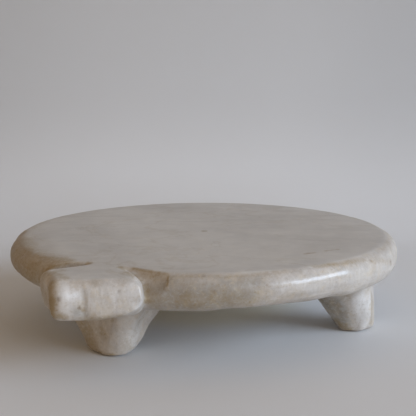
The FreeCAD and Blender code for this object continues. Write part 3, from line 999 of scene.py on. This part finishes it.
# The sheet: the backdrop's distance behind the slab's axis, the radius and the steps of the curve up to it,
# how far the floor reaches forward, the backdrop's height, and half the width
BACK, COVE, COVE_STEPS, REACH, TALL, WIDE = 0.36, 0.16, 16, 1.8, 1.0, 1.2
# Where painted shade darkens it: low and high on the backdrop, and out to the sides, less on the floor
LOW_WALL, HIGH_WALL = (0.0, 0.13), (0.12, 0.35)
TO_THE_SIDE, OFF_THE_FLOOR = (0.06, 0.24), (-0.01, 0.02)
# Where painted bounce light from the stone warms it, and how far behind the slab's axis the middle of that
# lies
PAINTED_BOUNCE_OUT, PAINTED_BOUNCE_BACK = (SLAB_RADIUS * 0.66, SLAB_RADIUS * 0.32), SLAB_RADIUS / 3
# How near a thing lies for the sheet to be clear to it
LYING = (0.8 * MM, 0.4 * MM)

# The lamps: degrees round from the camera and up, then width, height and distance
LAMPS = {"window": (69.5, 20, 3.2, 1.25, 3.6), "front": (6.6, 6, 0.7, 0.5, 3.0)}

# What the camera looks at, from the foot of the slab's axis and square to the view, and its tilt
LOOKED_AT, ROLL = Vector((0.00276, 0, 0.07059)), -0.003


def stage_material(settings):
    """A pale matt sheet that is seen from its upper side only, with painted shade on the backdrop and painted
    bounce light below the board.
    """
    material, wire, shader = new_material("pale_sheet")
    place = wire.node("ShaderNodeTexCoord", output="Object")
    soft = wire.noise(place, *SHEET_CLOUD)
    east, north, height = from_axis(place)
    cos, sin = math.cos(settings.azimuth), math.sin(settings.azimuth)
    sideways = abs(east * cos + north * sin)
    beyond = north * cos - east * sin - PAINTED_BOUNCE_BACK
    # Painted shade: darker up the backdrop and out to the sides, lighter in soft clouds
    shade = 0.9 - height.ramp(*LOW_WALL) * 0.6 - height.ramp(*HIGH_WALL) * 0.3 + soft.ramp(0.3, 0.7) * 0.1
    shade = shade - sideways.ramp(*TO_THE_SIDE) * height.ramp(*OFF_THE_FLOOR) * 0.2
    body = shade.blend(darker(settings.floor, 0.64), settings.floor)
    # Painted bounce light: warmer below the board, as if the stone threw its own colour down
    below = level_length(sideways, beyond).ramp(*PAINTED_BOUNCE_OUT)
    below.blend(body, settings.floor_painted_bounce, kind="MULTIPLY").into(shader, "Base Color")
    shader.inputs["Roughness"].default_value = 0.6
    shader.inputs["Specular IOR Level"].default_value = 0.3
    # Clear from behind, and to what lies on it, so that the soles are lit when seen from below
    behind = wire.node("ShaderNodeNewGeometry", output="Backfacing")
    ray = wire.node("ShaderNodeLightPath")
    lying = ray.other("Is Diffuse Ray") * ray.other("Ray Length").ramp(*LYING)
    clear = wire.node("ShaderNodeBsdfTransparent")
    sheet = Wire(wire.tree, shader.outputs[0])
    seen = wire.node("ShaderNodeMixShader", sockets={0: behind.most(lying), 1: sheet, 2: clear})
    seen.into(wire.tree.nodes["Material Output"], "Surface")
    return material


def even_light(settings):
    """Light from all round that is weaker overhead and on the left, as in a room."""
    world = bpy.data.worlds.new("even_light")
    world.use_nodes = True
    wire = Wire(world.node_tree)
    sky = wire.node("ShaderNodeTexCoord", output="Generated")
    parts = wire.node("ShaderNodeSeparateXYZ", sockets={"Vector": sky})
    tone = abs(parts.other("Z")).ramp(0.0, 0.6).blend(settings.fill, settings.fill_above)
    left = parts * -math.cos(settings.azimuth) - parts.other("Y") * math.sin(settings.azimuth)
    tone = left.ramp(-0.2, 0.8).blend(tone, settings.fill_left)
    seen = wire.node("ShaderNodeLightPath", output="Is Camera Ray")
    tone = seen.blend(tone, darker(settings.floor, 0.6))
    tone.into(world.node_tree.nodes["Background"], "Color")
    return world


def sweep(turn):
    """A floor that curves up into a backdrop behind the board, square to the camera."""
    profile = [(-REACH, 0.0), (BACK - COVE, 0.0)]
    for number in range(1, COVE_STEPS + 1):
        angle = math.pi / 2 * number / COVE_STEPS
        profile.append((BACK - COVE + COVE * math.sin(angle), COVE - COVE * math.cos(angle)))
    profile.append((BACK, TALL))
    work = bmesh.new()
    rows = []
    for side in (-WIDE, WIDE):
        rows.append([work.verts.new(AXIS + turn @ Vector((side, out, up))) for out, up in profile])
    for i in range(len(profile) - 1):
        work.faces.new((rows[0][i], rows[1][i], rows[1][i + 1], rows[0][i + 1]))
    for face in work.faces:
        face.smooth = True
    return finished(work, "floor_sweep")


def towards(round_by, up_by):
    """The direction of a thing by its angles round from the front and up."""
    level = math.cos(up_by)
    return Vector((level * math.sin(round_by), -level * math.cos(round_by), math.sin(up_by)))


def aim(thing, place, target, roll=0.0):
    """Put a lamp or the camera at a place and point it at a target."""
    thing.location = place
    turn = (target - place).to_track_quat("-Z", "Y") @ Quaternion((0, 0, 1), roll)
    thing.rotation_euler = turn.to_euler()


def add_lamp(name, power, wide, tall, place, target, tint):
    """Hang a soft lamp."""
    lamp = bpy.data.lights.new(name, "AREA")
    lamp.shape = "RECTANGLE"
    lamp.size = wide
    lamp.size_y = tall
    lamp.energy = power
    lamp.color = tint
    aim(link(name, lamp), place, target)


# ---- operators

class CHAKLA_OT_stage(bpy.types.Operator):
    """Lay the floor, hang the lamps and set up the camera"""
    bl_idname = "chakla.stage"
    bl_label = "Stage"

    def execute(self, context):
        settings = context.scene.chakla_stage
        turn = Quaternion((0, 0, 1), settings.azimuth)
        floor = link("floor", sweep(turn))
        floor.data.materials.append(stage_material(settings))

        middle = AXIS + Vector((0, 0, TOP / 2))
        for name, (round_by, up_by, wide, tall, away) in LAMPS.items():
            power = getattr(settings, name + "_power")
            place = middle + turn @ towards(math.radians(round_by), math.radians(up_by)) * away
            add_lamp(name, power, wide, tall, place, middle, settings.window_tint)
        context.scene.world = even_light(settings)

        camera = bpy.data.cameras.new("camera")
        camera.lens = settings.lens
        camera.sensor_width = 36.0
        camera.clip_start = 0.01
        eye = link("camera", camera)
        face = AXIS + Vector((0, 0, TOP))
        place = face + turn @ towards(0.0, settings.elevation) * settings.distance
        aim(eye, place, AXIS + turn @ LOOKED_AT, ROLL)
        context.scene.camera = eye
        context.scene.view_settings.view_transform = "Standard"
        return {"FINISHED"}


class CHAKLA_OT_block(bpy.types.Operator):
    """Carve the whole board as one block, ready to be cut into its stones"""
    bl_idname = "chakla.block"
    bl_label = "Carved block"

    def execute(self, context):
        settings = context.scene.chakla_stone
        mesh = carved_block(settings, marble(settings))
        mesh.name = "carved_block"
        return {"FINISHED"}


class CHAKLA_OT_slab(bpy.types.Operator):
    """Cut the slab from the carved block"""
    bl_idname = "chakla.slab"
    bl_label = "Rolling slab"

    def execute(self, context):
        cut_stone("rolling_slab")
        return {"FINISHED"}


class CHAKLA_OT_lug(bpy.types.Operator):
    """Cut the handle lug from the carved block"""
    bl_idname = "chakla.lug"
    bl_label = "Handle lug"

    def execute(self, context):
        cut_stone("handle_lug")
        return {"FINISHED"}


class CHAKLA_OT_feet(bpy.types.Operator):
    """Cut the three feet from the carved block"""
    bl_idname = "chakla.feet"
    bl_label = "Feet"

    def execute(self, context):
        for name in FEET:
            cut_stone(name)
        return {"FINISHED"}


class CHAKLA_OT_putty(bpy.types.Operator):
    """Colour the putty in the joints"""
    bl_idname = "chakla.putty"
    bl_label = "Putty"

    def execute(self, context):
        material = lime_putty(context.scene.chakla_stone)
        for name in BEDDINGS:
            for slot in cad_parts[name].material_slots:
                slot.material = material
        return {"FINISHED"}


STEPS = (CHAKLA_OT_stage, CHAKLA_OT_block, CHAKLA_OT_slab,
         CHAKLA_OT_lug, CHAKLA_OT_feet, CHAKLA_OT_putty)


class CHAKLA_PT_board(bpy.types.Panel):
    """The board's sizes, colours and steps"""
    bl_idname = "CHAKLA_PT_board"
    bl_label = "Chakla"
    bl_space_type = "VIEW_3D"
    bl_region_type = "UI"
    bl_category = "Chakla"

    def draw(self, context):
        for operator in STEPS:
            self.layout.operator(operator.bl_idname)
        for settings in (context.scene.chakla_stone, context.scene.chakla_stage):
            column = self.layout.column()
            for name in settings.__annotations__:
                column.prop(settings, name)


CLASSES = (ChaklaStone, ChaklaStage) + STEPS + (CHAKLA_PT_board,)


def register():
    for item in CLASSES:
        bpy.utils.register_class(item)
    bpy.types.Scene.chakla_stone = PointerProperty(type=ChaklaStone)
    bpy.types.Scene.chakla_stage = PointerProperty(type=ChaklaStage)


def unregister():
    del bpy.types.Scene.chakla_stage
    del bpy.types.Scene.chakla_stone
    for item in reversed(CLASSES):
        bpy.utils.unregister_class(item)


def main():
    register()
    bpy.ops.chakla.stage()
    bpy.ops.chakla.block()
    bpy.ops.chakla.slab()
    bpy.ops.chakla.lug()
    bpy.ops.chakla.feet()
    bpy.ops.chakla.putty()


if __name__ == "__main__":
    main()
